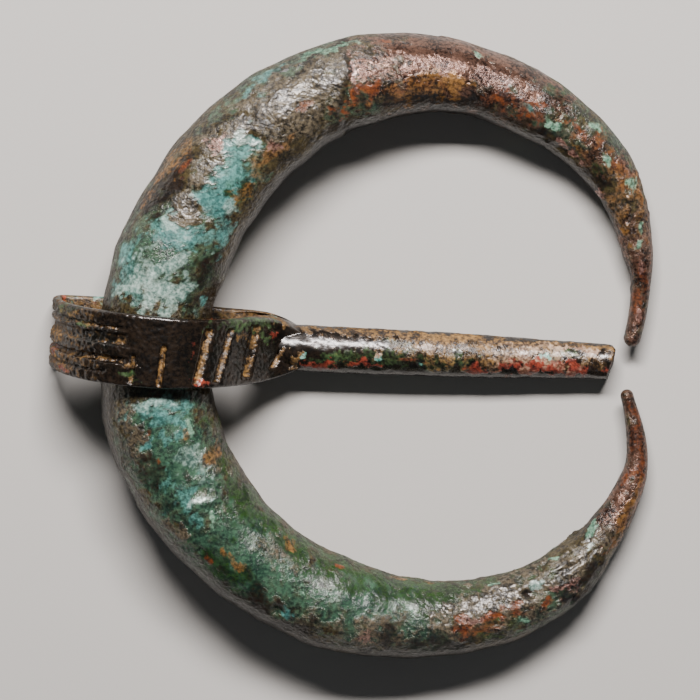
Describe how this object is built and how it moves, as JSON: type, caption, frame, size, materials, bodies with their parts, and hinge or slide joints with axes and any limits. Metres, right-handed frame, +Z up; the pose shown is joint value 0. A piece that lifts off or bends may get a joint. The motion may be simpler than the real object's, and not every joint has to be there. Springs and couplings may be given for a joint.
{
  "type": "penannular brooch",
  "caption": "Heavy bronze ring brooch: a tapering hoop open between two thin terminals, with a broken pin whose looped, notched head swings on its thick back.",
  "frame": {"origin": "middle of the underside of the brooch lying on its back, on the surface it lies on", "axes": "+X from the pin's looped head towards the terminals, +Y across the hoop towards the longer upper arm, +Z up"},
  "size_m": [0.0484, 0.0504, 0.0113],
  "materials": {
    "patinated_bronze": "cast and hammered bronze under turquoise, green, brown and grey corrosion, worn to metal on the right arm",
    "dark_bronze": "smooth dark brown bronze patina with tan earth in the cut lines and red copper oxide spots"
  },
  "bodies": {
    "hoop": {"hoop": "patinated_bronze"},
    "pin": {"pin": "dark_bronze"}
  },
  "joints": [
    {"name": "pin_swing", "type": "hinge", "parent": "hoop", "child": "pin", "pos_m": [-0.01561, 0.0006, 0.00556], "axis": [0, -1, 0], "continuous": true}
  ]
}
